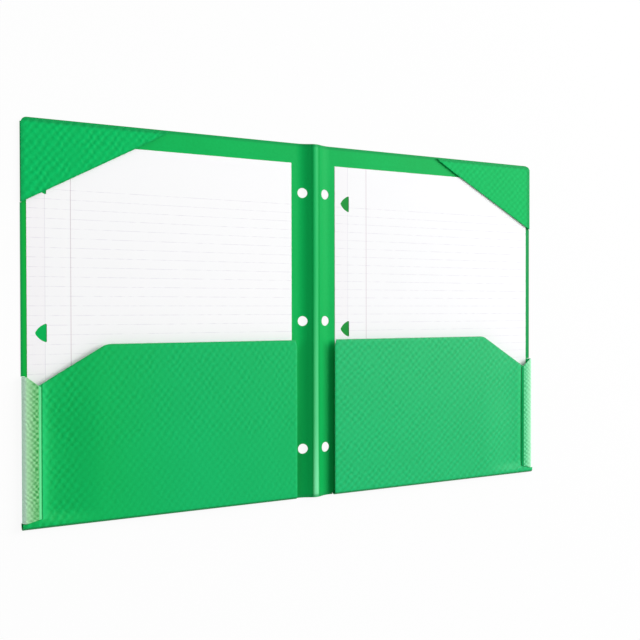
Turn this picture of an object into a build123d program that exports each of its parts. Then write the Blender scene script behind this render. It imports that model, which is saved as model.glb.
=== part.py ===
from build123d import *
import math
import os

# A two pocket folder of plastic sheet, lying open on its back with the inside up.
# The sheet is cut and folded. Beside the spine each cover rises in a punched gutter to a thinned
# hinge line, and between the two hinge lines the creased spine goes on up to its crown. On each
# cover the foot folds up into a pocket, a narrow flap folds in over the pocket's outer edge and
# is welded to it, and a corner tab folds in over the top of the paper.
# X runs across the folder with the spine at 0 and the back cover on the +X side, Y runs up
# the covers and Z points out of the inside, with 0 under the covers. All sizes are in mm.

# Plastic sheet, its hinge lines, and the gutters that rise to the creased spine
PLASTIC = 0.5
SCORE_WIDTH = 0.6
SCORE_THICKNESS = 0.25
GUTTER_REACH = 16.0
GUTTER_SLOPE = 28.0
GUTTER_RADIUS = 20.0
CROWN_RADIUS = 2.0
CLOSED_CLEARANCE = 3.2
CORNER_RADIUS = 4.0
FOLD_SLIT = 0.3

# Paper that the folder is made for, and the room left around it
PAPER_WIDTH = 215.9
PAPER_HEIGHT = 279.4
PAPER_THICKNESS = 0.12
PAPER_LIFT = 0.1
PAPER_GUTTER = 5.0
PAPER_SIDE_GAP = 4.4
PAPER_FOOT_GAP = 2.5
PAPER_HEADROOM = 16.55

# Cut-outs along the paper's left edge, and the folder's ring holes at the same pitch
HOLE_PITCH = 107.95
NOTCH_WIDTH = 8.6
NOTCH_HEIGHT = 14.0
NOTCH_MARGIN = 5.6
NOTCH_BULGE = 1.2
NOTCH_TIP_RADIUS = 1.6
NOTCH_CORNER_RADIUS = 0.8
RING_HOLE_DIAMETER = 8.4
RING_HOLE_SETBACK = 10.9

# Pocket, measured up from the folder's foot and in from the cover's outer edge
POCKET_GAP = 4.6
POCKET_HEIGHT = 133.4
POCKET_LAP = 2.6
POCKET_CUT_WIDTH = 58.2
POCKET_CUT_DROP = 34.5
POCKET_SHOULDER_RADIUS = 14.0
POCKET_NOSE_WIDTH = 1.4
POCKET_NOSE_DROP = 5.5

# Side flap welded over the pocket's outer edge
FLAP_WIDTH = 12.3
FLAP_FOOT = 5.0
FLAP_TOP = 110.7
FLAP_TOP_SLANT = 7.2
FLAP_FOOT_SLANT = 2.2

# Corner tab, measured in from the cover's outer edge and down from its top
TAB_GAP = 1.0
TAB_REACH = 113.0
TAB_DROP = 61.5
TAB_INSET = 1.0
TAB_STRAIGHT_REACH = 88.7
TAB_STRAIGHT_DROP = 14.9

# Undersides of the layers over the cover
pocket_z = PLASTIC + POCKET_GAP
flap_z = pocket_z + PLASTIC
tab_z = PLASTIC + TAB_GAP
paper_z = PLASTIC + PAPER_LIFT

# A gutter rises on a round foot and then on a straight slope
incline = math.radians(GUTTER_SLOPE)
foot_run = GUTTER_RADIUS * math.sin(incline)
foot_z = PLASTIC / 2 + GUTTER_RADIUS * (1 - math.cos(incline))
slope_run = GUTTER_REACH - foot_run

# A closed cover stands upright over its hinge line, and a layer at height z then lies at
# hinge_x + hinge_z - z from the middle: the flaps of the two pockets keep their clearance
closed_reach = flap_z + PLASTIC + CLOSED_CLEARANCE / 2
hinge_x = (closed_reach - foot_z - slope_run * math.tan(incline)) / (1 - math.tan(incline))
hinge_z = closed_reach - hinge_x

# The covers take their outline from the paper
paper_x = GUTTER_REACH + PAPER_GUTTER
edge_x = paper_x + PAPER_WIDTH + PAPER_SIDE_GAP
height = PAPER_FOOT_GAP + PAPER_HEIGHT + PAPER_HEADROOM
foot_y = -height / 2
top_y = height / 2

# Mid-plane radius of each fold, and the line on the cover where it begins
pocket_bend = (POCKET_GAP + PLASTIC) / 2
flap_bend = (POCKET_GAP + 2 * PLASTIC) / 2
tab_bend = (TAB_GAP + PLASTIC) / 2
pocket_line = foot_y + pocket_bend + PLASTIC / 2
flap_line = edge_x - flap_bend - PLASTIC / 2
tab_line = edge_x - tab_bend - PLASTIC / 2

# Ends of the folds
pocket_x = paper_x - POCKET_LAP
flap_low = foot_y + FLAP_FOOT
flap_high = foot_y + FLAP_TOP
tab_low = top_y - TAB_DROP
tab_high = top_y - CORNER_RADIUS


def plate(face, low_z, thickness=PLASTIC):
    """A flat piece of sheet, cut to a face drawn in plan."""
    return Pos(0, 0, low_z) * extrude(face, thickness)


def bend(radius, length):
    """A half tube of sheet that opens towards -X and runs from Y = 0 down to Y = -length."""
    outer_radius = radius + PLASTIC / 2
    ring = Circle(outer_radius) - Circle(radius - PLASTIC / 2)
    half = ring & Pos(outer_radius, 0) * Rectangle(2 * outer_radius, 4 * outer_radius)
    return extrude(Plane.XZ * half, length)


def front(shape):
    """The front cover's copy of a piece of the back cover."""
    return mirror(shape, about=Plane.YZ)


def cover():
    """Flat cover panel: its outline steps in where a fold begins."""
    sides = Polyline(
        (GUTTER_REACH, top_y),
        (GUTTER_REACH, foot_y),
        (pocket_x, foot_y),
        (pocket_x, pocket_line),
        (edge_x, pocket_line),
        (edge_x, flap_low - FOLD_SLIT),
        (flap_line, flap_low - FOLD_SLIT),
        (flap_line, flap_high + FOLD_SLIT),
        (edge_x, flap_high + FOLD_SLIT),
        (edge_x, tab_low - FOLD_SLIT),
        (tab_line, tab_low - FOLD_SLIT),
        (tab_line, tab_high),
    )
    corner = TangentArc((tab_line, tab_high), (tab_line - CORNER_RADIUS, top_y), tangent=(0, 1))
    head = Line((tab_line - CORNER_RADIUS, top_y), (GUTTER_REACH, top_y))
    return plate(make_face(sides + corner + head), 0)


def gutter():
    """Margin that rises from the cover to its hinge line, punched straight through for three rings."""
    length = (slope_run - hinge_x) / math.cos(incline) - SCORE_WIDTH / 2

    def side(low_z, radius):
        foot = JernArc((GUTTER_REACH, low_z), (-1, 0), radius, -GUTTER_SLOPE)
        slope = Line(foot @ 1, foot @ 1 + (foot % 1) * length)
        return foot, slope

    inside = side(PLASTIC, GUTTER_RADIUS - PLASTIC / 2)
    outside = side(0, GUTTER_RADIUS + PLASTIC / 2)
    ends = Line(inside[0] @ 0, outside[0] @ 0), Line(inside[1] @ 1, outside[1] @ 1)
    section = make_face([*inside, *outside, *ends])
    strip = extrude(Plane.XZ * section, height / 2, both=True)
    for step in (-1, 0, 1):
        centre = Pos(RING_HOLE_SETBACK, step * HOLE_PITCH)
        strip -= centre * Cylinder(RING_HOLE_DIAMETER / 2, 4 * hinge_z)
    return strip


def pocket():
    """Pocket panel: a sloping cut lowers its mouth towards the outer edge."""
    pocket_top = foot_y + POCKET_HEIGHT
    shoulder = (flap_line - POCKET_CUT_WIDTH, pocket_top)
    face = make_face(
        Polyline(
            (pocket_x, pocket_line),
            (edge_x, pocket_line),
            (edge_x, flap_low - FOLD_SLIT),
            (flap_line, flap_low - FOLD_SLIT),
            (flap_line, pocket_top - POCKET_CUT_DROP),
            shoulder,
            (pocket_x + POCKET_NOSE_WIDTH, pocket_top),
            (pocket_x, pocket_top - POCKET_NOSE_DROP),
            close=True,
        )
    )
    rounded = face.vertices().sort_by_distance((*shoulder, 0))[0]
    return plate(fillet(rounded, POCKET_SHOULDER_RADIUS), pocket_z)


def pocket_fold():
    """Rounded foot of the pocket, along the folder's bottom edge."""
    fold = Rot(0, 0, -90) * bend(pocket_bend, edge_x - pocket_x)
    return Pos(edge_x, pocket_line, PLASTIC / 2 + pocket_bend) * fold


def side_flap():
    """Flap on top of the pocket's outer edge, with slanted ends."""
    flap_x = edge_x - FLAP_WIDTH
    face = make_face(
        Polyline(
            (flap_line, flap_low),
            (flap_line, flap_high),
            (flap_x, flap_high - FLAP_TOP_SLANT),
            (flap_x, flap_low + FLAP_FOOT_SLANT),
            close=True,
        )
    )
    return plate(face, flap_z)


def side_gusset():
    """Rounded wall that joins the flap to the cover's outer edge."""
    wall = bend(flap_bend, flap_high - flap_low)
    return Pos(flap_line, flap_high, PLASTIC / 2 + flap_bend) * wall


def corner_tab():
    """Three-cornered tab with a rounded top corner and a tip that curves up to a point."""
    tab_top = top_y - TAB_INSET
    corner_end = (tab_line - (CORNER_RADIUS - TAB_INSET), tab_top)
    tip = (edge_x - TAB_REACH, tab_top)
    straight_end = (edge_x - TAB_STRAIGHT_REACH, top_y - TAB_STRAIGHT_DROP)
    foot = (tab_line, tab_low)
    slope = Vector(*straight_end) - Vector(*foot)
    outline = (
        Line(foot, (tab_line, tab_high))
        + TangentArc((tab_line, tab_high), corner_end, tangent=(0, 1))
        + Line(corner_end, tip)
        + Line(foot, straight_end)
        + TangentArc(straight_end, tip, tangent=slope)
    )
    return plate(make_face(outline), tab_z)


def tab_fold():
    """Tight fold between the cover's outer edge and the corner tab."""
    fold = bend(tab_bend, tab_high - tab_low)
    return Pos(tab_line, tab_high, PLASTIC / 2 + tab_bend) * fold


def spine():
    """Creased strip between the hinge lines: it carries the gutters' slope on to a rounded crown."""
    along = Vector(math.cos(incline), math.sin(incline))
    outward = Vector(-math.sin(incline), math.cos(incline))
    start = Vector(-hinge_x, hinge_z) + along * (SCORE_WIDTH / 2)
    length = (hinge_x - CROWN_RADIUS * math.sin(incline)) / math.cos(incline) - SCORE_WIDTH / 2

    def side(offset):
        corner = start + outward * offset
        rise = Line(corner, corner + along * length)
        crown = JernArc(rise @ 1, along, CROWN_RADIUS + offset, -2 * GUTTER_SLOPE)
        fall = Line(crown @ 1, crown @ 1 + (crown % 1) * length)
        return rise, crown, fall

    inside = side(PLASTIC / 2)
    outside = side(-PLASTIC / 2)
    ends = Line(inside[0] @ 0, outside[0] @ 0), Line(inside[2] @ 1, outside[2] @ 1)
    section = make_face([*inside, *outside, *ends])
    return extrude(Plane.XZ * section, height / 2, both=True)


def spine_hinge():
    """Thin web of plastic left by the score on one side of the spine."""
    web = Box(SCORE_WIDTH, height, SCORE_THICKNESS)
    return Pos(hinge_x, 0, hinge_z) * Rot(0, GUTTER_SLOPE, 0) * web


def paper(left_x):
    """Loose sheet with three cut-outs along its left edge, each flat on the right with a blunt left tip."""
    sheet = Rectangle(PAPER_WIDTH, PAPER_HEIGHT, align=(Align.MIN, Align.CENTER))
    tip = (NOTCH_MARGIN, 0)
    low_corner = (NOTCH_MARGIN + NOTCH_WIDTH, -NOTCH_HEIGHT / 2)
    high_corner = (NOTCH_MARGIN + NOTCH_WIDTH, NOTCH_HEIGHT / 2)
    low_side = SagittaArc(low_corner, tip, NOTCH_BULGE)
    high_side = SagittaArc(tip, high_corner, NOTCH_BULGE)
    notch = make_face(low_side + high_side + Line(high_corner, low_corner))
    notch = fillet(notch.vertices().sort_by(Axis.X)[1:], NOTCH_CORNER_RADIUS)
    notch = fillet(notch.vertices().sort_by(Axis.X)[0], NOTCH_TIP_RADIUS)
    for step in (-1, 0, 1):
        sheet -= Pos(0, step * HOLE_PITCH) * notch
    centre_y = foot_y + PAPER_FOOT_GAP + PAPER_HEIGHT / 2
    return Pos(left_x, centre_y, 0) * plate(sheet, paper_z, PAPER_THICKNESS)


parts = {"spine": spine()}
makers = cover, gutter, spine_hinge, pocket, pocket_fold, side_flap, side_gusset, corner_tab, tab_fold
for make in makers:
    shape = make()
    parts["back_" + make.__name__] = shape
    parts["front_" + make.__name__] = front(shape)
parts["back_paper"] = paper(paper_x)
parts["front_paper"] = paper(-paper_x - PAPER_WIDTH)

os.makedirs("parts", exist_ok=True)
for name, shape in parts.items():
    export_step(shape, f"parts/{name}.step")
print(f"{len(parts)} pieces, {2 * edge_x:.1f} x {height:.2f} mm")
print(f"hinge lines {hinge_x:.3f} mm from the middle and {hinge_z:.3f} mm up")
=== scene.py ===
# %% [markdown]
# # A two pocket folder of green plastic sheet
# The folder lies open on its back, with a sheet of ruled paper in each pocket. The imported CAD
# model comes in first. It says where every piece is and how it moves, so nothing here is placed by
# eye. Its flat covers and their gutters are right as they are, and only get a finish. The folded
# pieces, the spine and the papers are modelled again as the continuous bent sheets that they are
# on the real folder, and each finish is made from nodes.

# %% Load the CAD model
import math

import bmesh
import bpy
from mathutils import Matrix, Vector


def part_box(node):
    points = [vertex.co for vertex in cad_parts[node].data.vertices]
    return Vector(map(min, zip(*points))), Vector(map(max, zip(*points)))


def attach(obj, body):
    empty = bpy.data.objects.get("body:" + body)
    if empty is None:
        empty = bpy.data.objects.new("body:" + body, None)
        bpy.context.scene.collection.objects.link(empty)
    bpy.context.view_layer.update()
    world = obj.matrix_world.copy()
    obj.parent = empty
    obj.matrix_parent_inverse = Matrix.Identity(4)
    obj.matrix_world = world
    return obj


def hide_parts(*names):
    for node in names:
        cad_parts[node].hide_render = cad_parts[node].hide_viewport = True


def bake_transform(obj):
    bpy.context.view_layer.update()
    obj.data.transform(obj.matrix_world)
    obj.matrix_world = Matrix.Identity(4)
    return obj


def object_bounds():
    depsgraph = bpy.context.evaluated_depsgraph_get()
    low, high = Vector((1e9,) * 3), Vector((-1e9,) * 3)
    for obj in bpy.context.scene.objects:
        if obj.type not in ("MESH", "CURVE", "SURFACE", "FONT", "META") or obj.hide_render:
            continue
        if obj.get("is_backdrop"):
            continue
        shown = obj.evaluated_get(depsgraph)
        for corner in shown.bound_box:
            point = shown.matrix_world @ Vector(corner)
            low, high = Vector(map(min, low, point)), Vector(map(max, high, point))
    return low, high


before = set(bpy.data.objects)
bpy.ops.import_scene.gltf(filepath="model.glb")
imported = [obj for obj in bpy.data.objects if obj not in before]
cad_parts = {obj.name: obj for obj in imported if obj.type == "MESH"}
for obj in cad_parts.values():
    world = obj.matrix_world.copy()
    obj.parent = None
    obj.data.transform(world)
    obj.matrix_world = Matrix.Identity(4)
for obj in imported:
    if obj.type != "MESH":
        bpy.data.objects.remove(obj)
cad_low, cad_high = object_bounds()
MM = 0.001
SIDES = ("back", "front")
print("CAD box in mm:", [round(x / MM, 2) for x in (*cad_low, *cad_high)])

# %% [markdown]
# ## Camera
# The folder is seen from above and from its left, so that the front cover comes nearer and looks
# wider. A camera could be aimed with a Track To constraint, but its place and turn are known here,
# so they are written down. The turn is about Y first, then X, then Z, which is the order YXZ.

# %% Place the camera
CAMERA_LENS = 51.29
CAMERA_PLACE = Vector((-375.38, 9.67, 678.99)) * MM
CAMERA_TURN = (-0.52, -29.37, -0.41)

camera_data = bpy.data.cameras.new("camera")
camera_data.lens = CAMERA_LENS
camera = bpy.data.objects.new("camera", camera_data)
bpy.context.collection.objects.link(camera)
camera.rotation_mode = "YXZ"
camera.location = CAMERA_PLACE
camera.rotation_euler = [math.radians(turn) for turn in CAMERA_TURN]
bpy.context.scene.camera = camera
print("camera", [round(x, 3) for x in camera.location], "lens", camera_data.lens, "mm")

# %% [markdown]
# ## Measures from the model
# The folds start where the flat CAD plates end, so their lines are read from the boxes of the CAD
# nodes. All pieces are modelled on the +X side, for the back cover. For the front cover they are
# modelled once more and turned over to the other side.

# %% Read the fold lines and the layers' heights
SHEET = 0.5 * MM
panel_low, panel_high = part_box("back_pocket")
flap_low, flap_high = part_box("back_side_flap")
tab_low, tab_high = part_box("back_corner_tab")
hinge_low, hinge_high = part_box("back_spine_hinge")
paper_low, paper_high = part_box("back_paper")

cover_mid = SHEET / 2
panel_mid = (panel_low.z + panel_high.z) / 2
flap_mid = (flap_low.z + flap_high.z) / 2
tab_mid = (tab_low.z + tab_high.z) / 2
print("mid heights in mm: pocket", round(panel_mid / MM, 2), "flap", round(flap_mid / MM, 2),
      "tab", round(tab_mid / MM, 2))

# %% [markdown]
# ## Hand tools
# Every folded piece is made in the same few moves: lay a grid down as the flat sheet, trim it
# along its outline with bisect cuts, press it a little where the real sheet isn't flat, spin an
# edge round to make a fold, then give it its thickness. Operators act on what is selected, so one
# helper selects by place.

# %% Helpers to lay and trim
def lay_sheet(name, low, high, height, columns, rows):
    """A flat grid between two corners in plan, in edit mode."""
    bpy.ops.object.select_all(action="DESELECT")
    bpy.ops.mesh.primitive_grid_add(x_subdivisions=columns, y_subdivisions=rows, size=1)
    sheet = bpy.context.object
    sheet.name = sheet.data.name = name
    sheet.scale = (high[0] - low[0], high[1] - low[1], 1)
    sheet.location = ((low[0] + high[0]) / 2, (low[1] + high[1]) / 2, height)
    bpy.ops.object.transform_apply(location=True, rotation=True, scale=True)
    bpy.ops.object.mode_set(mode="EDIT")
    return sheet


def trim(point, outward):
    """Cut straight through the sheet at a point and drop what lies outward of it."""
    bpy.ops.mesh.select_all(action="SELECT")
    normal = Vector((*outward, 0)).normalized()
    bpy.ops.mesh.bisect(plane_co=(*point, 0), plane_no=normal, clear_outer=True)


def trim_round(centre, radius, first_turn, last_turn, cuts):
    """Round an outside corner with cuts that touch a circle, turns given clockwise from +Y."""
    for cut in range(cuts):
        turn = math.radians(first_turn + (last_turn - first_turn) * (cut + 0.5) / cuts)
        outward = (math.sin(turn), math.cos(turn))
        trim([middle + radius * way for middle, way in zip(centre, outward)], outward)


print("ready to lay and trim sheets")

# %% Helpers to pick edges and fold them under
TOUCH = 0.01 * MM
ALONG_X, ALONG_Y = (1, 0, 0), (0, 1, 0)


def pick_edges(test):
    """Select only the edges whose two ends pass a test on their place."""
    bpy.ops.mesh.select_mode(type="EDGE")
    bpy.ops.mesh.select_all(action="DESELECT")
    shape = bmesh.from_edit_mesh(bpy.context.edit_object.data)
    for edge in shape.edges:
        if all(test(end.co) for end in edge.verts):
            edge.select_set(True)
    bmesh.update_edit_mesh(bpy.context.edit_object.data)


def fold_under(axis, line, height, steps):
    """Spin the picked edge half a turn down to the cover, about a line given in plan."""
    centre = (*line, (height + cover_mid) / 2)
    bpy.ops.mesh.spin(steps=steps, angle=-math.pi, axis=axis, center=centre)


print("edges count as touching within", TOUCH / MM, "mm")

# %% [markdown]
# A soft dip or bow could be pulled with proportional editing. A Displace modifier that follows
# painted weights does the same and can be repeated exactly, so the weights are worked out from
# each point's place. Solidify then gives the sheet its thickness, and a narrow Bevel breaks its
# cut edges.

# %% Helpers to press
def ease(value):
    """Smooth step from 0 to 1."""
    value = min(max(value, 0.0), 1.0)
    return value * value * (3 - 2 * value)


def press(sheet, height, weight):
    """Move a sheet up by a height, in the share that weight gives for each place."""
    bpy.ops.object.mode_set(mode="OBJECT")
    group = sheet.vertex_groups.new(name="press")
    for point in sheet.data.vertices:
        group.add([point.index], weight(point.co), "REPLACE")
    push = sheet.modifiers.new("press", "DISPLACE")
    push.direction, push.strength, push.mid_level = "Z", height, 0.0
    push.vertex_group = group.name
    bpy.ops.object.modifier_apply(modifier=push.name)
    sheet.vertex_groups.clear()
    bpy.ops.object.mode_set(mode="EDIT")


print("ready to press sheets")

# %% Helper to thicken
MERGE = 0.005 * MM
EDGE_STEPS = 2
EDGE_ANGLE = math.radians(60)
SMOOTH_ANGLE = math.radians(35)


def thicken(sheet, thickness, edge=0.0):
    """Tidy a bent sheet, then give it its thickness and softened cut edges."""
    if bpy.context.object.mode == "EDIT":
        bpy.ops.object.mode_set(mode="OBJECT")
    bpy.ops.object.select_all(action="DESELECT")
    sheet.select_set(True)
    bpy.context.view_layer.objects.active = sheet
    bpy.ops.object.mode_set(mode="EDIT")
    bpy.ops.mesh.select_all(action="SELECT")
    bpy.ops.mesh.remove_doubles(threshold=MERGE)
    bpy.ops.mesh.dissolve_degenerate(threshold=MERGE)
    bpy.ops.mesh.normals_make_consistent(inside=False)
    bpy.ops.object.mode_set(mode="OBJECT")
    wall = sheet.modifiers.new("wall", "SOLIDIFY")
    wall.thickness, wall.offset = thickness, 0.0
    bpy.ops.object.modifier_apply(modifier=wall.name)
    if edge:
        soft = sheet.modifiers.new("soft", "BEVEL")
        soft.width, soft.segments = edge, EDGE_STEPS
        soft.limit_method, soft.angle_limit = "ANGLE", EDGE_ANGLE
        bpy.ops.object.modifier_apply(modifier=soft.name)
    bpy.ops.object.shade_smooth_by_angle(angle=SMOOTH_ANGLE)
    print(sheet.name, len(sheet.data.polygons), "faces")
    return sheet


print("cut edges are softened in", EDGE_STEPS, "steps")

# %% Helper to model both sides
def model_sides(model, thickness, edge):
    """Model and thicken a piece for both covers, the front one flipped across the spine."""
    pair = {}
    for side in SIDES:
        sheet = model(side)
        bpy.ops.object.mode_set(mode="OBJECT")
        sheet.scale.x = 1 if side == "back" else -1
        bpy.ops.object.transform_apply(location=True, rotation=True, scale=True)
        pair[side] = thicken(sheet, thickness, edge)
    return pair


print("pieces are modelled for", *SIDES)

# %% [markdown]
# ## Pockets
# On the real folder the pocket is the cover's own foot, folded up. A straight mouth drops along a
# slope to the outer edge. The panel is laid down as a grid, trimmed like paper with scissors, and
# its foot edge is spun half a turn down to the cover. The panel hangs from the flap that is welded
# over its outer edge, so it sinks from there into a shallow trough, and rises again across the
# pocket.

# %% Outline of the pocket
MOUTH_SHOULDER = (180.05 * MM, panel_high.y)
SHOULDER_RADIUS = 14 * MM
SLOPE_FOOT = (flap_high.x, panel_high.y - 34.5 * MM)
NOSE_WIDTH = 1.4 * MM
NOSE_DROP = 5.5 * MM
EAR_TOP = flap_low.y - 0.3 * MM
slope = Vector(SLOPE_FOOT) - Vector(MOUTH_SHOULDER)
slope_turn = -math.atan2(slope.y, slope.x)
slope_out = (math.sin(slope_turn), math.cos(slope_turn))
print("pocket mouth slopes down at", round(math.degrees(slope_turn), 1), "degrees")

# %% Trough of the panel beside the flap
EDGE_DIP = 0.9 * MM
TROUGH_DIP = {"back": 1.3 * MM, "front": 2.5 * MM}
TROUGH_PLACE = 11 * MM
TROUGH_END = 46 * MM
UNDER_FLAP = 5 * MM
FOOT_RUN = 9 * MM
MOUTH_RUN_START = -85 * MM
MOUTH_RUN = 45 * MM
MOUTH_LOSS = 0.6
margin_x = flap_low.x - 1.0 * MM


def along_flap(place):
    """Share of the dip along the flap: none at the foot fold, and less towards the mouth."""
    foot = ease((place.y - panel_low.y) / FOOT_RUN)
    return foot * (1 - MOUTH_LOSS * ease((place.y - MOUTH_RUN_START) / MOUTH_RUN))


def trough(place, dip):
    """Share of the trough's dip, by the distance from the flap's inner edge."""
    inward = margin_x - abs(place.x)
    edge = EDGE_DIP / dip
    if inward < 0:
        across = edge * (1 - ease(-inward / UNDER_FLAP))
    elif inward < TROUGH_PLACE:
        across = edge + (1 - edge) * math.sin(math.pi / 2 * inward / TROUGH_PLACE)
    else:
        across = 1 - ease((inward - TROUGH_PLACE) / (TROUGH_END - TROUGH_PLACE))
    return across * along_flap(place)


print("troughs in mm:", {side: round(dip / MM, 1) for side, dip in TROUGH_DIP.items()})

# %% Model the pockets
MOUTH_BOW = 0.35 * MM
PANEL_EDGE = 0.12 * MM
CORNER_CUTS = 7


def mouth_bow(place):
    """1 in the middle of the pocket's mouth, 0 at its foot and both sides."""
    across = (abs(place.x) - panel_low.x) / (flap_high.x - panel_low.x)
    up = (place.y - panel_low.y) / (panel_high.y - panel_low.y)
    return math.sin(math.pi * min(max(across, 0), 1)) * ease(up)


def model_pocket(side):
    sheet = lay_sheet(side + "_pocket_sheet", panel_low, (flap_high.x, panel_high.y), panel_mid,
                      columns=96, rows=48)
    trim((panel_low.x, panel_high.y - NOSE_DROP), (-NOSE_DROP / MM, NOSE_WIDTH / MM))
    trim(SLOPE_FOOT, slope_out)
    step = SHOULDER_RADIUS * math.tan(slope_turn / 2)
    centre = (MOUTH_SHOULDER[0] - step, panel_high.y - SHOULDER_RADIUS)
    trim_round(centre, SHOULDER_RADIUS, 0, math.degrees(slope_turn), CORNER_CUTS)
    bpy.ops.mesh.select_all(action="SELECT")
    bpy.ops.mesh.bisect(plane_co=(0, EAR_TOP, 0), plane_no=ALONG_Y)
    press(sheet, -TROUGH_DIP[side], lambda place: trough(place, TROUGH_DIP[side]))
    press(sheet, MOUTH_BOW, mouth_bow)
    pick_edges(lambda end: end.x > flap_high.x - TOUCH and end.y < EAR_TOP + TOUCH)
    ear = (panel_high.x - flap_high.x, 0, 0)
    bpy.ops.mesh.extrude_region_move(TRANSFORM_OT_translate={"value": ear})
    pick_edges(lambda end: end.y < panel_low.y + TOUCH)
    fold_under(ALONG_X, (0, panel_low.y), panel_mid, steps=16)
    return sheet


pockets = model_sides(model_pocket, SHEET, PANEL_EDGE)

# %% [markdown]
# ## Side flaps
# A narrow strip of the cover folds up round the pocket's outer edge and lies on the pocket, where
# it is welded down. Its inner margin bends down to the pocket's face, so that it catches the light
# on one side of the folder and lies in shade on the other. The outer edge is spun round as the
# gusset.

# %% Model the flaps with their gussets
FLAP_HIGH_SLANT = 7.2 * MM
FLAP_LOW_SLANT = 2.2 * MM
FLAP_MARGIN = 2.0 * MM
FLAP_EDGE = 0.16 * MM
flap_reach = flap_high.x - flap_low.x


def margin_down(place):
    """1 at the flap's inner edge and 0 where its margin begins, in the panel's share along it."""
    return ease((margin_x + FLAP_MARGIN - abs(place.x)) / FLAP_MARGIN) * along_flap(place)


def model_flap(side):
    sheet = lay_sheet(side + "_side_wrap", (margin_x, flap_low.y), flap_high, flap_mid,
                      columns=40, rows=48)
    trim((flap_high.x, flap_high.y), (-FLAP_HIGH_SLANT / MM, flap_reach / MM))
    trim((flap_high.x, flap_low.y), (-FLAP_LOW_SLANT / MM, -flap_reach / MM))
    press(sheet, -EDGE_DIP, margin_down)
    pick_edges(lambda end: end.x > flap_high.x - TOUCH)
    fold_under(ALONG_Y, (flap_high.x, 0), flap_mid, steps=18)
    return sheet


wraps = model_sides(model_flap, SHEET, FLAP_EDGE)

# %% [markdown]
# ## Corner tabs
# A three-cornered tab folds in over the top of the paper. Its long side runs straight and then
# turns up a little to the tip, so the trims follow a wide arc there. The fold at the cover's outer
# edge is tight.

# %% Long side of the tabs
TAB_STRAIGHT_END = Vector((152.6 * MM, 134.325 * MM))
TAB_TIP = Vector((tab_low.x, tab_high.y))
TAB_FOOT = Vector((tab_high.x, tab_low.y))
TIP_CUTS = 6


def heading(way):
    """Direction of a line in plan, as an angle."""
    return math.atan2(way.y, way.x)


def trim_left(point, turn):
    """Drop what lies on the left of a line that runs through a point."""
    trim(point, (-math.sin(turn), math.cos(turn)))


tab_turn = heading(TAB_STRAIGHT_END - TAB_FOOT)
print("long side of the tabs runs at", round(math.degrees(tab_turn), 1), "degrees")

# %% Model the corner tabs
TAB_CORNER = 3 * MM


def model_tab(side):
    sheet = lay_sheet(side + "_tab_sheet", tab_low, tab_high, tab_mid, columns=56, rows=32)
    trim_left(TAB_FOOT, tab_turn)
    chord = TAB_TIP - TAB_STRAIGHT_END
    bend = heading(chord) - tab_turn
    for cut in range(1, TIP_CUTS + 1):
        part = bend * cut / TIP_CUTS
        reach = chord.length * math.sin(part) / math.sin(bend)
        way = Vector((math.cos(tab_turn + part), math.sin(tab_turn + part)))
        trim_left(TAB_STRAIGHT_END + way * reach, tab_turn + 2 * part)
    centre = (tab_high.x - TAB_CORNER, tab_high.y - TAB_CORNER)
    trim_round(centre, TAB_CORNER, 0, 90, CORNER_CUTS)
    pick_edges(lambda end: end.x > tab_high.x - TOUCH)
    fold_under(ALONG_Y, (tab_high.x, 0), tab_mid, steps=12)
    return sheet


tabs = model_sides(model_tab, SHEET, PANEL_EDGE)

# %% [markdown]
# ## Spine and hinge lines
# The covers' gutters slope up to the spine, and the spine rolls over between them in a round
# crown. On both sides of it the sheet is scored to half its thickness, and the thin web that is
# left bends each time the folder closes. The web is a strip of narrow faces, so that it can curve.

# %% Model the spine and the hinge lines
WEB = 0.25 * MM
WEB_SLOPE = math.radians(28)
SCORE_EDGE = 0.03 * MM
web_mid = (hinge_low.z + hinge_high.z) / 2
spine_edge = web_mid + math.tan(WEB_SLOPE) * (hinge_high.x - hinge_low.x) / 2


def model_spine():
    sheet = lay_sheet("spine_crown", (-hinge_low.x, hinge_low.y), (hinge_low.x, hinge_high.y),
                      spine_edge, columns=24, rows=40)
    radius = hinge_low.x / math.sin(WEB_SLOPE)
    rise = radius * (1 - math.cos(WEB_SLOPE))
    press(sheet, rise, lambda place: 1 - (radius - math.sqrt(radius ** 2 - place.x ** 2)) / rise)
    return sheet


def model_hinge(side):
    sheet = lay_sheet(side + "_hinge_web", hinge_low, hinge_high, web_mid, columns=8, rows=40)
    middle = (hinge_low.x + hinge_high.x) / 2
    press(sheet, -math.tan(WEB_SLOPE) * MM, lambda place: (place.x - hinge_low.x) / MM)
    press(sheet, math.tan(WEB_SLOPE) * MM, lambda place: (middle - hinge_low.x) / MM)
    return sheet


crown = thicken(model_spine(), SHEET, SCORE_EDGE)
webs = model_sides(model_hinge, WEB, SCORE_EDGE)

# %% [markdown]
# ## Ruled paper
# Each sheet has three cut-outs along its left edge, with a flat side on the right and a blunt tip
# on the left. A cutter of that shape is trimmed from a flat face by cuts that touch five arcs, and
# pulled up into a bar. A Boolean modifier takes it out of the sheet. A loose sheet never lies
# quite flat, so it is bowed by less than half a millimetre.

# %% Arcs of a cut-out
CUT_LEFT = 5.6 * MM
CUT_WIDTH = 8.6 * MM
CUT_HALF = 7 * MM
CUT_BULGE = 1.2 * MM
CUT_TIP = 1.6 * MM
CUT_CORNER = 0.8 * MM
ARC_CUTS = 6
BLUNT_CUTS = 4


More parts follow.
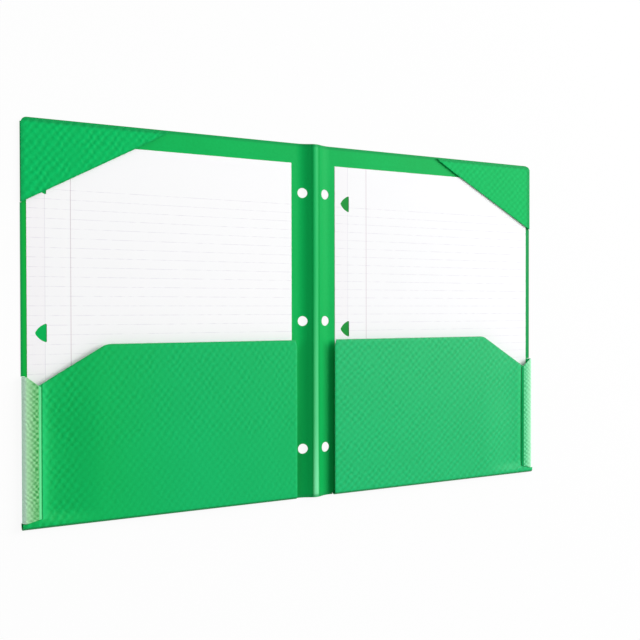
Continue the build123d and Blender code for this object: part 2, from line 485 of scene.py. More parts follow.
def trim_cut_out(left, middle):
    """Trim a face to the outline of a cut-out, from its arcs at the tip, sides and corners."""
    tip, flat = left + CUT_LEFT, left + CUT_LEFT + CUT_WIDTH
    chord = math.hypot(CUT_WIDTH, CUT_HALF)
    side = (chord ** 2 / 4 + CUT_BULGE ** 2) / (2 * CUT_BULGE)
    reach = (side - CUT_BULGE) / chord
    side_x = tip + CUT_WIDTH / 2 + CUT_HALF * reach
    side_y = CUT_HALF / 2 - CUT_WIDTH * reach
    tip_x = side_x - math.sqrt((side - CUT_TIP) ** 2 - side_y ** 2)
    corner_x = flat - CUT_CORNER
    corner_y = side_y + math.sqrt((side - CUT_CORNER) ** 2 - (corner_x - side_x) ** 2)
    tip_turn = math.degrees(math.atan2(tip_x - side_x, -side_y))
    corner_turn = math.degrees(math.atan2(corner_x - side_x, corner_y - side_y))
    trim_round((tip_x, middle), CUT_TIP, tip_turn, -180 - tip_turn, ARC_CUTS)
    trim_round((side_x, middle + side_y), side, tip_turn, corner_turn, ARC_CUTS)
    trim_round((side_x, middle - side_y), side, 180 - tip_turn, 180 - corner_turn, ARC_CUTS)
    trim_round((corner_x, middle + corner_y), CUT_CORNER, corner_turn, 90, BLUNT_CUTS)
    trim_round((corner_x, middle - corner_y), CUT_CORNER, 180 - corner_turn, 90, BLUNT_CUTS)


print("cut-outs of", round(CUT_WIDTH / MM, 1), "x", round(2 * CUT_HALF / MM, 1), "mm")

# %% Cutter for the cut-outs
CUTTER_DEPTH = 3 * MM


def model_cutter(left, middle):
    """A bar with the outline of one cut-out, standing through the sheet."""
    tip, flat = left + CUT_LEFT, left + CUT_LEFT + CUT_WIDTH
    low, high = (tip - MM, middle - CUT_HALF - MM), (flat, middle + CUT_HALF + MM)
    cutter = lay_sheet("cutter", low, high, -CUTTER_DEPTH, columns=1, rows=1)
    trim_cut_out(left, middle)
    bpy.ops.mesh.select_all(action="SELECT")
    bpy.ops.mesh.extrude_region_move(TRANSFORM_OT_translate={"value": (0, 0, 2 * CUTTER_DEPTH)})
    bpy.ops.mesh.select_all(action="SELECT")
    bpy.ops.mesh.remove_doubles(threshold=MERGE)
    bpy.ops.mesh.normals_make_consistent(inside=False)
    bpy.ops.object.mode_set(mode="OBJECT")
    return cutter


print("cutter is", round(2 * CUTTER_DEPTH / MM, 1), "mm long")

# %% Model both sheets
PAPER = paper_high.z - paper_low.z
HOLE_PITCH = 107.95 * MM
PAPER_BOW = {"back": 0.45 * MM, "front": 0.35 * MM}
END_BOW = 0.35


def model_paper(side):
    low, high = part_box(side + "_paper")
    sheet = lay_sheet(side + "_sheet", low, high, (low.z + high.z) / 2, columns=40, rows=52)
    thicken(sheet, PAPER)
    for row in (-1, 0, 1):
        cutter = model_cutter(low.x, (low.y + high.y) / 2 + row * HOLE_PITCH)
        bpy.context.view_layer.objects.active = sheet
        hole = sheet.modifiers.new("hole", "BOOLEAN")
        hole.operation, hole.solver, hole.object = "DIFFERENCE", "EXACT", cutter
        bpy.ops.object.modifier_apply(modifier=hole.name)
        bpy.data.objects.remove(cutter)

    def bow(place):
        across = math.sin(math.pi * (place.x - low.x) / (high.x - low.x))
        along = math.sin(math.pi * (place.y - low.y) / (high.y - low.y))
        return across * (END_BOW + (1 - END_BOW) * along)

    press(sheet, PAPER_BOW[side], bow)
    bpy.ops.object.mode_set(mode="OBJECT")
    print(sheet.name, len(sheet.data.polygons), "faces")
    return sheet


papers = {side: model_paper(side) for side in SIDES}

# %% [markdown]
# ## Flat places for the patterns
# The emboss runs on round the folds, as it was pressed into the flat sheet before it was cut.
# Object coordinates would squeeze it there, so each bent piece gets a UV map with the place that
# every point had in the flat sheet, in metres. On the paper the map counts from the sheet's upper
# left corner.

# %% Places in the flat sheet
def round_fold(past, above, radius):
    """Length along a half-turn fold up to a point that lies past its line and above its middle."""
    return radius * math.atan2(max(past, 0.0), above) if past > 0 or above < 0 else 0.0


def pocket_place(place):
    """Place of a pocket's point before the foot was folded up."""
    radius = (panel_mid - cover_mid) / 2
    fold = round_fold(panel_low.y - place.y, place.z - cover_mid - radius, radius)
    return place.x, max(place.y, panel_low.y) - fold


def side_place(line, height):
    """Places before the outer edge was folded in along a line, up to a height."""
    radius = (height - cover_mid) / 2

    def flat_place(place):
        fold = round_fold(abs(place.x) - line, place.z - cover_mid - radius, radius)
        return math.copysign(min(abs(place.x), line) + fold, place.x), place.y
    return flat_place


print("pocket fold is", round(math.pi * (panel_mid - cover_mid) / 2 / MM, 2), "mm long when flat")

# %% Write the maps
def write_map(sheet, flat_place):
    """Give a sheet its UV map of flat places."""
    layer = sheet.data.uv_layers.new(name="flat")
    for loop in sheet.data.loops:
        layer.data[loop.index].uv = flat_place(sheet.data.vertices[loop.vertex_index].co)


for side in SIDES:
    write_map(pockets[side], pocket_place)
    write_map(wraps[side], side_place(flap_high.x, flap_mid))
    write_map(tabs[side], side_place(tab_high.x, tab_mid))
    low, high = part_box(side + "_paper")
    write_map(papers[side], lambda place: (place.x - low.x, high.y - place.y))
print("flat maps written")

# %% [markdown]
# ## Shader sums in plain Python
# Node trees get long when every sum is wired by hand. This class wraps one socket, so that a + b
# or 1 - mask adds the Math node by itself, and node() adds any other kind with its settings and
# sockets.

# %% Class for node sockets
class Wire:
    """A socket of a node tree that can stand in sums."""

    def __init__(self, tree, socket=None):
        self.tree, self.socket = tree, socket

    def node(self, kind, settings, sockets, output=0):
        made = self.tree.nodes.new("ShaderNode" + kind)
        for name, value in settings.items():
            setattr(made, name, value)
        for name, value in sockets.items():
            if isinstance(value, Wire):
                self.tree.links.new(value.socket, made.inputs[name])
            else:
                made.inputs[name].default_value = value
        return Wire(self.tree, made.outputs[output])

    def sum(self, operation, *values):
        return self.node("Math", {"operation": operation}, dict(enumerate(values)))

    def __add__(self, other):
        return self.sum("ADD", self, other)

    def __sub__(self, other):
        return self.sum("SUBTRACT", self, other)

    def __rsub__(self, other):
        return self.sum("SUBTRACT", other, self)

    def __mul__(self, other):
        return self.sum("MULTIPLY", self, other)

    def __truediv__(self, other):
        return self.sum("DIVIDE", self, other)

    def __abs__(self):
        return self.sum("ABSOLUTE", self)

    __radd__ = __add__
    __rmul__ = __mul__

    def sine(self):
        return self.sum("SINE", self)

    def larger(self, other):
        return self.sum("MAXIMUM", self, other)

    def axis(self, number):
        """One of the numbers of a place or a normal."""
        return self.node("SeparateXYZ", {}, {"Vector": self}, number)

    def between(self, low, high):
        """0 below low, 1 above high, and a smooth step from one to the other."""
        return self.node("MapRange", {"interpolation_type": "SMOOTHSTEP"},
                         {"Value": self, "From Min": low, "From Max": high})

    def mix(self, first, second):
        """A colour that goes from the first to the second as this value goes from 0 to 1."""
        return self.node("Mix", {"data_type": "RGBA"}, {0: self, 6: first, 7: second}, 2)

    def noise(self, size, detail=2.0):
        """Even noise around 0.5 with grains of a size in metres, read at this place."""
        return self.node("TexNoise", {}, {"Vector": self, "Scale": 1 / size, "Detail": detail})


print("shader class ready")

# %% Helpers for finishes
def start_finish(name):
    """A new material, with a wire to start from and its shader."""
    finish = bpy.data.materials.new(name)
    finish.use_nodes = True
    return finish, Wire(finish.node_tree), finish.node_tree.nodes["Principled BSDF"]


def wire_in(shader, **inputs):
    """Set numbers and colours on the shader's own sockets, and link wires to them."""
    for name, value in inputs.items():
        socket = shader.inputs[name.replace("_", " ")]
        if isinstance(value, Wire):
            value.tree.links.new(value.socket, socket)
        else:
            socket.default_value = value


def flat_xy(wire):
    """Place in the flat sheet, from the piece's own map."""
    place = wire.node("UVMap", {"uv_map": "flat"}, {})
    return place, place.axis(0), place.axis(1)


def bump(wire, height, depth):
    """A normal for a height from 0 to 1 that stands for a depth in metres."""
    return wire.node("Bump", {}, {"Height": height, "Distance": depth, "Strength": 1.0})


def line(distance, width):
    """1 on a line and 0 beside it."""
    return 1 - abs(distance).between(width * 0.4, width * 0.6)


def steps_from(place, steps):
    """Both ends of a smooth step, given from a place."""
    return [place + step for step in steps]


print("finishes can be started")

# %% [markdown]
# ## Embossed plastic
# The folder's outside is pressed with rows of small diamonds. Two waves that cross on the slant
# make them, and the rising one is stronger. The roller slipped a little, so noise shifts and fades
# the waves from place to place. The height drives a Bump node, and its hollows are painted darker
# as shade.

# %% Emboss
WAVE = 0.25
LEAN = 0.1
SLIP = 5 * MM
SLIP_GRAINS = (9 * MM, 11 * MM)
FADE_GRAIN = 13 * MM
FAINTEST = 0.35


def diamonds(x, y, size, lean=LEAN):
    """Height of the emboss from 0 to 1, for diamonds of a width and a height that lean one way."""
    across, along = x * (math.tau / size[0]), y * (math.tau / size[1])
    rising, falling = (across - along).sine(), (across + along).sine()
    return 0.5 + (rising * (WAVE + lean) + falling * (WAVE - lean))


def emboss(place, x, y, size, lean=LEAN):
    """Diamonds that wander and fade a little from place to place."""
    slip_x, slip_y = ((place.noise(grain) - 0.5) * SLIP for grain in SLIP_GRAINS)
    share = FAINTEST + (1 - FAINTEST) * place.noise(FADE_GRAIN).between(0.3, 0.65)
    return 0.5 + (diamonds(x + slip_x, y + slip_y, size, lean) - 0.5) * share


print("emboss slips by up to", round(SLIP / 2 / MM, 1), "mm")

# %% [markdown]
# The real emboss isn't even: on the front pocket it is deeper beside the flap and shallower near
# the foot. Cut edges and folds get a rim of painted shade. Beside the flap's edge the panel gets a
# line of painted shade, with a band of painted highlight next to it. A mask for each place could
# be painted. It is worked out from the distance to the place's line instead, so that it stays
# sharp and follows the measures.

# %% Painted shade and highlight at the edges of the embossed pieces
# Painted shade for rims and along the flap's edge, and a painted highlight beside it
EDGE_SHADE_GREEN = (0.005, 0.27, 0.07, 1)
FLAP_EDGE_SHADE_GREEN = (0.001, 0.20, 0.045, 1)
HIGHLIGHT_BAND_GREEN = (0.02, 0.68, 0.21, 1)
CUT_RIM = (0.6 * MM, 1.7 * MM)
TOP_RIM = (1.0 * MM, 3.6 * MM)
TOP_SHARE = 0.8
SIDE_FOLD = (0.1 * MM, 0.8 * MM)
FOOT_FOLD = (-1.2 * MM, -0.3 * MM)
FLAP_START = (1.5 * MM, 2.5 * MM)
POCKETS_END = (-1 * MM, 1 * MM)
HIGHLIGHT_BAND = (-7 * MM, -1 * MM)
SHADE_LINE_IN = 0.5 * MM
SHADE_LINE_WIDTH = 1.1 * MM
HIGHLIGHT_BAND_SHARE, EDGE_SHADE_SHARE, SHADE_LINE_SHARE = 0.45, 0.85, 0.8


def near_edge(across, y, point, outward, edge_shade):
    """1 along a straight cut edge, which is given by a point on it and the way out."""
    inside = (point[0] - across) * outward[0] + (point[1] - y) * outward[1]
    return 1 - inside.between(*edge_shade)


def with_edges(colour, across, y, edges):
    """A colour with a painted highlight and a line of painted shade beside the flap, and painted
    shade along folds and cut edges.
    """
    beside = y.between(*steps_from(flap_low.y, FLAP_START)) * (1 - y.between(*POCKETS_END))
    # A band of painted highlight on the panel beside the flap's edge
    highlight_band = across.between(*steps_from(margin_x, HIGHLIGHT_BAND))
    colour = (highlight_band * beside * HIGHLIGHT_BAND_SHARE).mix(colour, HIGHLIGHT_BAND_GREEN)
    # Rims of painted shade along folds and cut edges
    edge_shade = across.between(*steps_from(tab_high.x, SIDE_FOLD))
    edge_shade = edge_shade.larger(1 - y.between(*steps_from(panel_low.y, FOOT_FOLD)))
    for *edge, share in edges:
        edge_shade = edge_shade.larger(near_edge(across, y, *edge) * share)
    colour = (edge_shade * EDGE_SHADE_SHARE).mix(colour, EDGE_SHADE_GREEN)
    # A line of painted shade on the panel along the flap's edge
    flap_edge_shade = line(across - margin_x + SHADE_LINE_IN, SHADE_LINE_WIDTH)
    return (flap_edge_shade * beside * SHADE_LINE_SHARE).mix(colour, FLAP_EDGE_SHADE_GREEN)


print("rims in mm:", *(round(edge_shade[1] / MM, 1) for edge_shade in (CUT_RIM, TOP_RIM)))

# %% Finish of pockets and tabs
GRAIN = 0.35 * MM
SPECK = 1.6 * MM
CLOUD = 38 * MM
GRAIN_HEIGHT = 0.12
BESIDE_FLAP = (195 * MM, 207 * MM)
NEAR_FOOT = (-105 * MM, -80 * MM)
OUTWARD = (100 * MM, 200 * MM)


def embossed_finish(name, inner, outer, size, contrast, depth, gloss, edges, uneven=(0, 0)):
    """Embossed plastic, with colours for grooves and diamonds near the spine and far from it.

    Two shares say how much deeper it is pressed beside the flap, and how much shallower towards
    the foot.
    """
    finish, wire, shader = start_finish(name)
    place, x, y = flat_xy(wire)
    across = abs(x)
    deeper = across.between(*BESIDE_FLAP) * uneven[0]
    shallower = (1 - y.between(*NEAR_FOOT)) * uneven[1]
    height = 0.5 + (emboss(place, x, y, size) - 0.5) * (1 + deeper - shallower)
    grain, speck, cloud = (place.noise(width) for width in (GRAIN, SPECK, CLOUD))
    outward = across.between(*OUTWARD)
    groove, top = (outward.mix(*pair) for pair in zip(inner, outer))
    # The hollows are painted darker, as shade in the relief
    colour = ((height - 0.5) * contrast + speck * 0.8 + cloud * 0.4 - 0.1).mix(groove, top)
    wire_in(shader, Base_Color=with_edges(colour, across, y, edges),
            Roughness=0.42 + grain * 0.1 + (1 - height) * 0.05,
            Normal=bump(wire, height + grain * GRAIN_HEIGHT, depth),
            Specular_IOR_Level=gloss)
    return finish


print("grain of", round(GRAIN / MM, 2), "mm")

# %% Cut edges and greens
GREEN_GROOVE = (0.001, 0.43, 0.108, 1)
GREEN_TOP = (0.002, 0.51, 0.142, 1)
GREEN = (GREEN_GROOVE, GREEN_TOP)
# Painted shade: a deeper green on the front pocket's outer side; painted sheen: a bluer back
# pocket
OUTER_SHADE_GREEN = ((0.0003, 0.42, 0.085, 1), (0.0005, 0.51, 0.115, 1))
SHEEN_GREEN = ((0.001, 0.44, 0.125, 1), (0.002, 0.52, 0.165, 1))
TAB_GREEN = ((0.001, 0.44, 0.10, 1), (0.001, 0.55, 0.132, 1))
EMBOSS_SIZE = {"front": (6.2 * MM, 7.5 * MM), "back": (7.2 * MM, 6.6 * MM)}
mouth = [((0, panel_high.y), (0, 1), CUT_RIM, 0.4), (SLOPE_FOOT, slope_out, CUT_RIM, 0.4)]
tab_out = (-math.sin(tab_turn), math.cos(tab_turn))
tab_top = ((0, tab_high.y), (0, 1), TOP_RIM, TOP_SHARE)
tab_side = ((tab_high.x, 0), (1, 0))
tab_cut = {
    "front": [tab_top, (TAB_FOOT, tab_out, CUT_RIM, 0.5), (*tab_side, (0, 3.5 * MM), 0.4)],
    "back": [tab_top, (TAB_FOOT, tab_out, CUT_RIM, 0.25),
             (*tab_side, (1.5 * MM, 4.5 * MM), 0.6)],
}
print("cut edges: pockets", len(mouth), "tabs", len(tab_cut["front"]))

# %% Make the embossed finishes
embossed = {
    "front": embossed_finish("embossed_green", GREEN, OUTER_SHADE_GREEN, EMBOSS_SIZE["front"],
                             contrast=0.9, depth=0.2 * MM, gloss=0.14, edges=mouth,
                             uneven=(0.7, 0.4)),
    "back": embossed_finish("embossed_sheen_green", SHEEN_GREEN, SHEEN_GREEN, EMBOSS_SIZE["back"],
                            contrast=1.45, depth=0.24 * MM, gloss=0.24, edges=mouth),
}
embossed_tab = {
    "front": embossed_finish("embossed_tab_green", TAB_GREEN, TAB_GREEN, EMBOSS_SIZE["front"],
                             contrast=1.3, depth=0.3 * MM, gloss=0.06, edges=tab_cut["front"]),
    "back": embossed_finish("embossed_tab_dull_green", TAB_GREEN, TAB_GREEN, EMBOSS_SIZE["back"],
                            contrast=0.8, depth=0.15 * MM, gloss=0.06, edges=tab_cut["back"]),
}
print("made", *(finish.name for finish in (*embossed.values(), *embossed_tab.values())))

# %% [markdown]
# Where the sheet is folded round the pocket's edge and welded, the plastic is stretched and goes
# pale, and a painted sheen makes it paler still. The flaps therefore have a finer emboss in a
# lighter green, greyer on the front cover as painted shade and mintier on the back as painted
# light. They are palest along the top of their outer fold, which is a painted reflection. Below it
# the gusset keeps the sheet's own green. The welded seam along their inner edge is pressed smooth
# and glossy, and on the front it is painted lighter as a highlight.

# %% Finish of the flaps
SEAM_END = margin_x + FLAP_MARGIN
SEAM_STEP = (-0.3 * MM, 0)
FLAP_EMBOSS = (4.6 * MM, 4.2 * MM)
FLAP_SPECK = 1.2 * MM
FLAP_DEPTH = 0.3 * MM
FLAP_CONTRAST = 1.5
OUTER_SHARE = 0.75
PALE_START = (-0.5 * MM, 2 * MM)
PALE_FADE = 1.8 * MM
GUSSET_GREEN = (0.02, 0.50, 0.17, 1)


def flap_finish(name, groove, top, outer, fold, seam, pale_end):
    """Stretched plastic with a painted sheen, and a painted reflection on its fold up to a length
    past the fold line.
    """
    finish, wire, shader = start_finish(name)
    place, x, y = flat_xy(wire)
    across = abs(x)
    open_face = across.between(*steps_from(SEAM_END, SEAM_STEP))
    height = emboss(place, x, y, FLAP_EMBOSS, lean=0) * open_face
    grain, speck = place.noise(GRAIN), place.noise(FLAP_SPECK)
    # The hollows are painted darker, as shade in the relief
    colour = ((height - 0.5) * FLAP_CONTRAST + speck).mix(groove, top)
    outward = across.between(SEAM_END + MM, flap_high.x + MM)
    colour = (outward * OUTER_SHARE).mix(colour, outer)
    past = across - flap_high.x
    colour = past.between(*PALE_START).mix(colour, fold)
    colour = past.between(pale_end, pale_end + PALE_FADE).mix(colour, GUSSET_GREEN)
    colour = open_face.mix(seam, colour)
    wire_in(shader, Base_Color=colour, Roughness=0.3 + open_face * 0.14 + grain * 0.1,
            Normal=bump(wire, height + grain * GRAIN_HEIGHT, FLAP_DEPTH),
            Specular_IOR_Level=0.15)
    return finish


# Front flap in painted shade, back flap in painted light, front seam with a painted highlight
pale = {
    "front": flap_finish("stretched_sage_green_painted_shade", groove=(0.04, 0.34, 0.07, 1),
                         top=(0.27, 0.70, 0.30, 1), outer=(0.44, 0.76, 0.45, 1),
                         fold=(0.62, 0.92, 0.72, 1), seam=(0.12, 0.66, 0.26, 1),
                         pale_end=3.4 * MM),
    "back": flap_finish("stretched_mint_green_painted_light", groove=(0.03, 0.44, 0.15, 1),
                        top=(0.14, 0.74, 0.34, 1), outer=(0.42, 0.92, 0.55, 1),
                        fold=(0.70, 0.96, 0.80, 1), seam=GREEN_GROOVE, pale_end=2.0 * MM),
}
print("made", *(finish.name for finish in pale.values()))

# %% [markdown]
# ## Smooth plastic
# The folder's inside is left smooth, with a soft gloss and a fine grain. The gutters that bend up
# to the spine are painted darker as shade, most of all between the pockets, and the front one is
# darkest towards its foot. The crest of the crown has a painted highlight, wider and paler towards
# its foot, and the back cover is painted in shade where the cut-outs of its sheet lie.

# %% Painted shade in the gutters and highlight on the crown
SMOOTH_GREEN = ((0.001, 0.42, 0.082, 1), (0.002, 0.49, 0.102, 1))
GUTTER_SHADE_GREEN = (0.001, 0.36, 0.072, 1)
DARKEST_SHADE_GREEN = (0.0005, 0.27, 0.05, 1)
CREST_HIGHLIGHT_GREEN = (0.022, 0.52, 0.14, 1)
FOOT_HIGHLIGHT_GREEN = (0.2, 0.8, 0.38, 1)
MOUTH_STEP = (-12 * MM, 2 * MM)
GUTTER_STEP, GUTTER_WIDER = (5 * MM, 15 * MM), (8 * MM, 4 * MM)
CREST_STEP, CREST_WIDER = (0.8 * MM, 2.6 * MM), (0.3 * MM, 0.9 * MM)
GUTTER_SHADE_SHARE = 0.8
DARKEST_ACROSS = (8 * MM, 16 * MM)
DARKEST_UP = (-125 * MM, -45 * MM)
GUTTER_END = (-21 * MM, -19 * MM)
HIGHLIGHT_UP = (-110 * MM, 60 * MM)
FOOT_END = -80 * MM


def widened(steps, wider, share):
    """Both ends of a smooth step, each moved outward by a share of a length."""
    return [step + share * length for step, length in zip(steps, wider)]


def gutter_shaded_green(place, x, y, cloud):
    """Green of the inside, with painted shade in the gutters, darkest at the foot of the front
    one.
    """
    colour = (cloud + place.noise(SPECK) - 0.5).mix(*SMOOTH_GREEN)
    low = 1 - y.between(*steps_from(panel_high.y, MOUTH_STEP))
    # Painted shade in the gutters, darkest at the foot of the front one
    gutter = 1 - abs(x).between(*widened(GUTTER_STEP, GUTTER_WIDER, low))
    colour = (gutter * GUTTER_SHADE_SHARE).mix(colour, GUTTER_SHADE_GREEN)
    darkest_shade = (0 - x).between(*DARKEST_ACROSS) * (1 - y.between(*DARKEST_UP))
    return (darkest_shade * x.between(*GUTTER_END) * GUTTER_SHADE_SHARE).mix(colour, DARKEST_SHADE_GREEN)


def crest_highlight(x, y):
    """Where the crest's painted highlight lies and its colour, wider and paler towards the foot.
    """
    foot = (1 - y.between(*HIGHLIGHT_UP)) * 0.5 + (1 - y.between(cad_low.y, FOOT_END)) * 0.5
    crest = 1 - abs(x).between(*widened(CREST_STEP, CREST_WIDER, foot))
    return crest, foot.mix(CREST_HIGHLIGHT_GREEN, FOOT_HIGHLIGHT_GREEN)


print("gutters end at", round(-GUTTER_END[0] / MM), "mm from the middle")

# %% Painted shade under the cut-outs, a yellower edge and shaded rims of the covers
CUT_OUT_SHADE_GREEN = (0.012, 0.29, 0.043, 1)
YELLOWER_GREEN = (0.004, 0.43, 0.055, 1)
CUT_OUT_SHADE_FADE = 4 * MM
CUT_OUT_SHADE_TOP = (-24 * MM, -8 * MM)
RIM_WIDTH = {"front": 1.8 * MM, "back": 5.4 * MM}
COVER_EDGE_SHADE_SHARE = 0.8
shade_low = paper_low.x + CUT_LEFT
shade_high = shade_low + CUT_WIDTH


def shaded_and_tinted_covers(colour, x, y):
    """The inside's green, in painted shade under the cut-outs, and yellower past the front
    sheet's edge.
    """
    # Painted shade where the back sheet's cut-outs lie
    cut_out_shade = x.between(shade_low - CUT_OUT_SHADE_FADE, shade_low)
    cut_out_shade = cut_out_shade * (1 - x.between(shade_high, shade_high + CUT_OUT_SHADE_FADE))
    cut_out_shade = cut_out_shade * (1 - y.between(*steps_from(paper_high.y, CUT_OUT_SHADE_TOP)))
    colour = cut_out_shade.mix(colour, CUT_OUT_SHADE_GREEN)
    # A yellower green past the front sheet's outer edge
    return (0 - x).between(paper_high.x - MM, paper_high.x).mix(colour, YELLOWER_GREEN)


def cover_edge_shade(x, y):
    """1 where painted shade runs along the covers' cut edges, softer along top and foot."""
    edge_shade = abs(y).between(cad_high.y - TOP_RIM[1], cad_high.y - TOP_RIM[0]) * TOP_SHARE
    for across, width in ((0 - x, RIM_WIDTH["front"]), (x, RIM_WIDTH["back"])):
        edge_shade = edge_shade.larger(across.between(cad_high.x - width, cad_high.x - width / 2))
    return edge_shade


print("rubbed strip in mm:", round(shade_low / MM, 1), "to", round(shade_high / MM, 1))

# %% [markdown]
# The covers' outside is the embossed face of the same sheet. Both faces belong to one CAD plate,
# so the side that a point lies on is told by the normal in the object's own space, which turns
# with the cover when it closes. The rims and cut faces are painted darker as shade, and so are
# the hollows of the outside's emboss.

# %% Finish of covers, spine and hinge lines
COVER_EMBOSS = (6.5 * MM, 7 * MM)
COVER_DEPTH = 0.10 * MM
COVER_GRAIN = 0.5 * MM
COVER_CLOUD = 45 * MM
OUTSIDE = (0.3, 0.6)
CUT_FACE = (0.15, 0.3)


def smooth_finish():
    finish, wire, shader = start_finish("smooth_green")
    place = wire.node("TexCoord", {}, {}, "Object")
    x, y = place.axis(0), place.axis(1)
    facing = wire.node("TexCoord", {}, {}, "Normal").axis(2)
    outside = (0 - facing).between(*OUTSIDE)
    cut = 1 - abs(facing).between(*CUT_FACE)
    height = diamonds(x, y, COVER_EMBOSS) * outside
    grain, cloud = place.noise(COVER_GRAIN), place.noise(COVER_CLOUD)
    # A painted highlight along the crest
    crest, highlight_colour = crest_highlight(x, y)
    inside_colour = crest.mix(gutter_shaded_green(place, x, y, cloud), highlight_colour)
    inside_colour = shaded_and_tinted_covers(inside_colour, x, y)
    # On the outside the emboss's hollows are painted darker, as shade
    face_colour = outside.mix(inside_colour, height.mix(*GREEN))
    # Painted shade along the covers' rims and on the sheet's cut faces
    face_colour = (cover_edge_shade(x, y) * COVER_EDGE_SHADE_SHARE).mix(face_colour, EDGE_SHADE_GREEN)
    wire_in(shader, Base_Color=cut.mix(face_colour, EDGE_SHADE_GREEN),
            Roughness=0.40 + grain * 0.06 + cloud * 0.06 - crest * 0.12,
            Normal=bump(wire, height + grain * 0.04, COVER_DEPTH), Specular_IOR_Level=0.07)
    return finish


smooth = smooth_finish()
print("made", smooth.name)

# %% [markdown]
# ## Finish of the paper
# White paper with fine grey rules, a margin line and a reinforced strip along the cut-outs. Each
# line is a narrow step on the distance from where it is printed, so it stays sharp at any size.
# The front sheet is painted whiter and the back one greyer, as painted light and shade.

# %% Rules and colours of the paper
RULE_TOP = 34.7 * MM
RULE_PITCH = 7.1 * MM
RULE_WIDTH = 0.3 * MM
MARGIN_LINE = 31.75 * MM
MARGIN_WIDTH = 0.45 * MM
STRIP_EDGE = 13 * MM
STRIP_STEP = (-0.1 * MM, 0.1 * MM)
STRIP_WHITE = (0.90, 0.84, 0.88, 1)
RULE_GREY = (0.52, 0.47, 0.58, 1)
STRIP_GREY = (0.55, 0.52, 0.60, 1)
MARGIN_ROSE = (0.52, 0.40, 0.46, 1)
PAINTED_SHADE_WHITE = (0.92, 0.92, 0.93, 1)
WHITE = (0.95, 0.95, 0.96, 1)
PAINTED_LIGHT_WHITE = (0.98, 0.98, 0.985, 1)
print("rules every", round(RULE_PITCH / MM, 1), "mm from", round(RULE_TOP / MM, 1), "mm down")

# %% Make the paper's finishes
FIBRE = 0.6 * MM
FIBRE_DEPTH = 0.02 * MM
PAPER_CLOUD = 25 * MM
INK_GRAIN = 6 * MM


def paper_finish(name, dull, bright):
    finish, wire, shader = start_finish(name)
    place, across, down = flat_xy(wire)
    fibre, cloud = place.noise(FIBRE, 4.0), place.noise(PAPER_CLOUD)
    turn = (down - RULE_TOP) / RULE_PITCH
    nearest = (turn - turn.sum("ROUND", turn)) * RULE_PITCH
    inked = place.noise(INK_GRAIN).between(0.25, 0.7)
    rules = line(nearest, RULE_WIDTH) * down.between(RULE_TOP - 2 * MM, RULE_TOP - MM) * inked
    strip = 1 - across.between(*steps_from(STRIP_EDGE, STRIP_STEP))
    colour = (fibre * 0.5 + cloud * 0.5).mix(dull, bright)
    colour = (strip * 0.2).mix(colour, STRIP_WHITE)
    colour = (rules * 0.5).mix(colour, RULE_GREY)
    colour = (line(across - STRIP_EDGE, RULE_WIDTH) * 0.5).mix(colour, STRIP_GREY)
    colour = (line(across - MARGIN_LINE, MARGIN_WIDTH) * 0.7).mix(colour, MARGIN_ROSE)
    wire_in(shader, Base_Color=colour, Roughness=0.78 + fibre * 0.12,
            Normal=bump(wire, fibre + strip * 0.8, FIBRE_DEPTH), Specular_IOR_Level=0.2)
    return finish


# The front sheet is painted whiter as light, the back one greyer as shade
ruled = {"back": paper_finish("ruled_paper", PAINTED_SHADE_WHITE, WHITE),
         "front": paper_finish("ruled_bright_paper", WHITE, PAINTED_LIGHT_WHITE)}
print("made", *(finish.name for finish in ruled.values()))

# %% [markdown]
# ## Putting the pieces on the model
# Each new sheet takes its finish and stands for the CAD nodes that it shows better. The papers and
# the crown are attached to their bodies, and the other sheets only have their place baked into
# the mesh.

# %% Helpers to dress and attach
dressed = []


def dress(sheet, finish, slot, *nodes):
    """Give a sheet its finish, and let it stand for CAD nodes."""
    sheet.data.materials.clear()
    sheet.data.materials.append(finish)
    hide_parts(*nodes)
    dressed.append(sheet.name)


def fold_between(sheet):
    """Bake a sheet's place into its mesh."""
    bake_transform(sheet)


# %% Dress and attach
for side in SIDES:
    pocket, wrap, tab, web, paper = (pair[side] for pair in (pockets, wraps, tabs, webs, papers))
    cover = side + "_cover"
    dress(pocket, embossed[side], "embossed_plastic", side + "_pocket", side + "_pocket_fold")
    dress(wrap, pale[side], "embossed_plastic", side + "_side_flap", side + "_side_gusset")
    dress(tab, embossed_tab[side], "embossed_plastic", side + "_corner_tab", side + "_tab_fold")
    dress(web, smooth, "smooth_plastic", side + "_spine_hinge")
    dress(paper, ruled[side], "paper", side + "_paper")
    fold_between(pocket)
    fold_between(wrap)
    fold_between(tab)
    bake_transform(web)
    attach(paper, side + "_paper")
    for node in (cover, side + "_gutter"):
        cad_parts[node].material_slots[0].material = smooth
dress(crown, smooth, "smooth_plastic", "spine")
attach(crown, "spine")
print("dressed", len(dressed), "new pieces, and the covers and gutters")

# %% [markdown]
# ## Floor, light and background
# The folder lies on a plain white floor. A large soft lamp stands low on the right, so that the
# ridge and the pockets throw soft shade to the left, and the world fills in from all round,
# brightest near the horizon. For the camera the floor is mostly plain white, but it keeps some of
# the shade.

# %% Floor
FLOOR_SIZE = 60
FLOOR_GAP = 0.2 * MM
FLOOR_GREY = (0.86, 0.86, 0.86, 1)
PLAIN_SHARE = 0.92
SEEN_BY = ("Is Camera Ray", "Is Glossy Ray", "Is Transmission Ray")

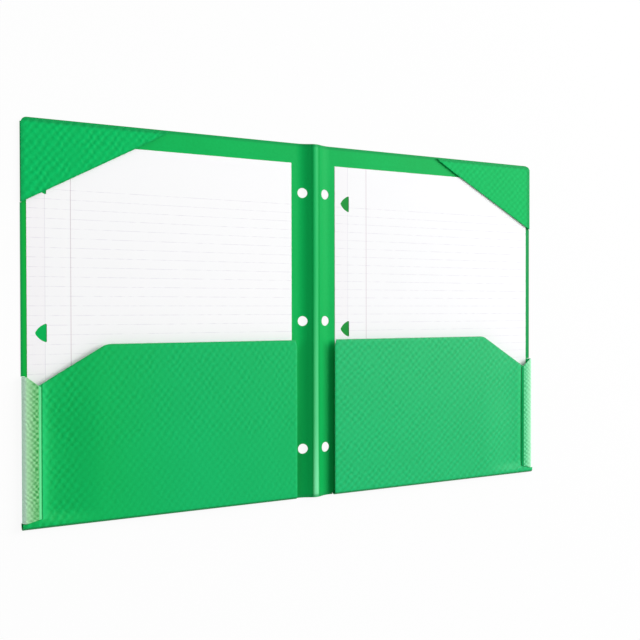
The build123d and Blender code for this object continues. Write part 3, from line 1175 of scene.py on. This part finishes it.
bpy.ops.object.select_all(action="DESELECT")
bpy.ops.mesh.primitive_plane_add(size=FLOOR_SIZE, location=(0, 0, -FLOOR_GAP))
floor = bpy.context.object
floor.name = "floor"
white_floor, wire, shader = start_finish("white_floor")
wire_in(shader, Base_Color=FLOOR_GREY, Roughness=0.9, Specular_IOR_Level=0.1)
camera_ray, glossy_ray, clear_ray = (wire.node("LightPath", {}, {}, kind) for kind in SEEN_BY)
seen = camera_ray.larger(glossy_ray.larger(clear_ray))
glow = wire.node("Emission", {}, {"Color": (1, 1, 1, 1), "Strength": 1.0})
lit = Wire(wire.tree, shader.outputs[0])
shown = wire.node("MixShader", {}, {0: seen * PLAIN_SHARE, 1: lit, 2: glow})
wire.tree.links.new(shown.socket, wire.tree.nodes["Material Output"].inputs["Surface"])
floor.data.materials.append(white_floor)
floor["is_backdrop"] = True
print("floor at", round(floor.location.z / MM, 2), "mm")

# %% Lamp
LAMP_PLACE = (2.75, 1.3, 2.3)
LAMP_SIZE = 3.0
LAMP_POWER = 172

lamp_data = bpy.data.lights.new("key_lamp", "AREA")
lamp_data.shape, lamp_data.size, lamp_data.energy = "SQUARE", LAMP_SIZE, LAMP_POWER
lamp = bpy.data.objects.new("key_lamp", lamp_data)
bpy.context.collection.objects.link(lamp)
lamp.location = LAMP_PLACE
lamp.rotation_euler = Vector(LAMP_PLACE).to_track_quat("Z", "Y").to_euler()
print(lamp.name, "of", LAMP_POWER, "W at", LAMP_PLACE)

# %% World
SKY_STEP = (-0.05, 0.75)
HIGH_SKY = (0.34, 0.34, 0.34, 1)
LOW_SKY = (0.82, 0.82, 0.82, 1)

world = bpy.data.worlds.new("studio")
bpy.context.scene.world = world
world.use_nodes = True
sky = Wire(world.node_tree).node("TexCoord", {}, {}, "Generated")
low_share = 1 - sky.axis(2).between(*SKY_STEP)
sky_colour = low_share.mix(HIGH_SKY, LOW_SKY)
background = world.node_tree.nodes["Background"]
world.node_tree.links.new(sky_colour.socket, background.inputs["Color"])
bpy.context.scene.view_settings.view_transform = "Standard"
print("world and view set")

# %% Print the visual box
low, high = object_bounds()
print("visual box in mm:", [round(x / MM, 2) for x in (*low, *high)])
